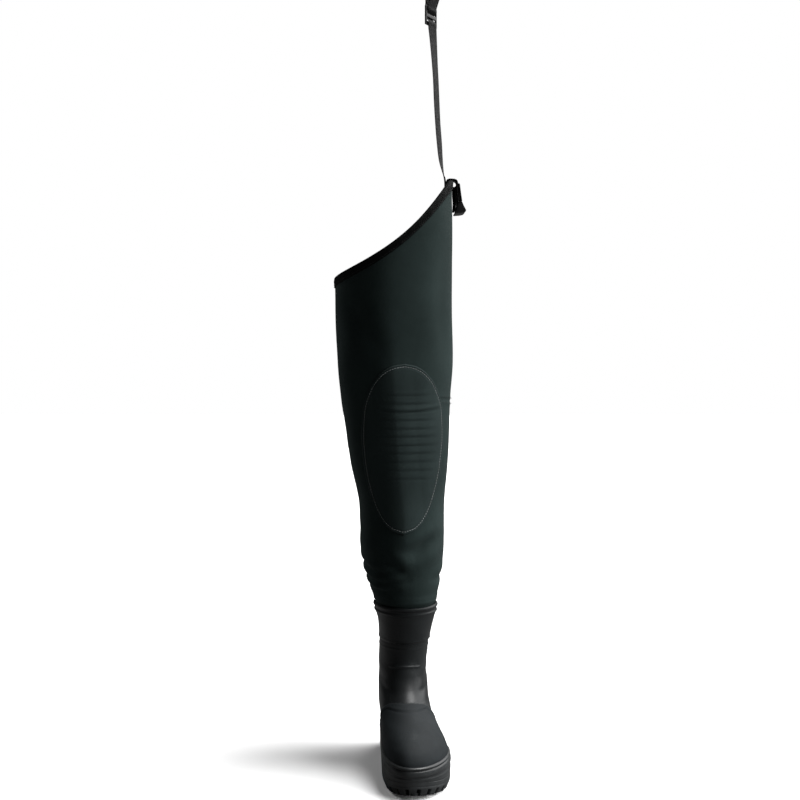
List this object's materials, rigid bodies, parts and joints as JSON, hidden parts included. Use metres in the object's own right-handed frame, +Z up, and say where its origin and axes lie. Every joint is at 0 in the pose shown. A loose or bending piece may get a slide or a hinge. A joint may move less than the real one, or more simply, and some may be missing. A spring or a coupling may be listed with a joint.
{
  "type": "hip wader",
  "caption": "Left hip wader: neoprene leg with knee pad and slanted collar on a moulded rubber boot with a lugged sole, and a buckled hanger strap.",
  "frame": {"origin": "middle of the heel's flat resting face", "axes": "+Z up along the leg, -Y to the toe, +X to the wearer's outer side"},
  "size_m": [0.2118, 0.3441, 1.2728],
  "materials": {
    "outsole_rubber": "matt black moulded rubber",
    "foxing_rubber": "satin black rubber",
    "boot_rubber": "satin black rubber",
    "insole_foam": "matt foam with a cloth top",
    "neoprene": "matt knit-faced neoprene",
    "binding_tape": "matt ribbed tape",
    "webbing": "woven polypropylene webbing",
    "buckle_plastic": "black moulded plastic"
  },
  "bodies": {
    "root": {"outsole": "outsole_rubber", "foxing": "foxing_rubber", "boot_upper": "boot_rubber", "vamp_cover": "boot_rubber", "heel_counter": "boot_rubber", "insole": "insole_foam", "neoprene_leg": "neoprene", "knee_pad": "neoprene", "collar_binding": "binding_tape", "hanger_strap": "webbing", "strap_slider": "buckle_plastic", "buckle_tab": "webbing", "buckle_body": "buckle_plastic", "buckle_plug": "buckle_plastic", "buckle_return": "webbing"}
  },
  "joints": []
}
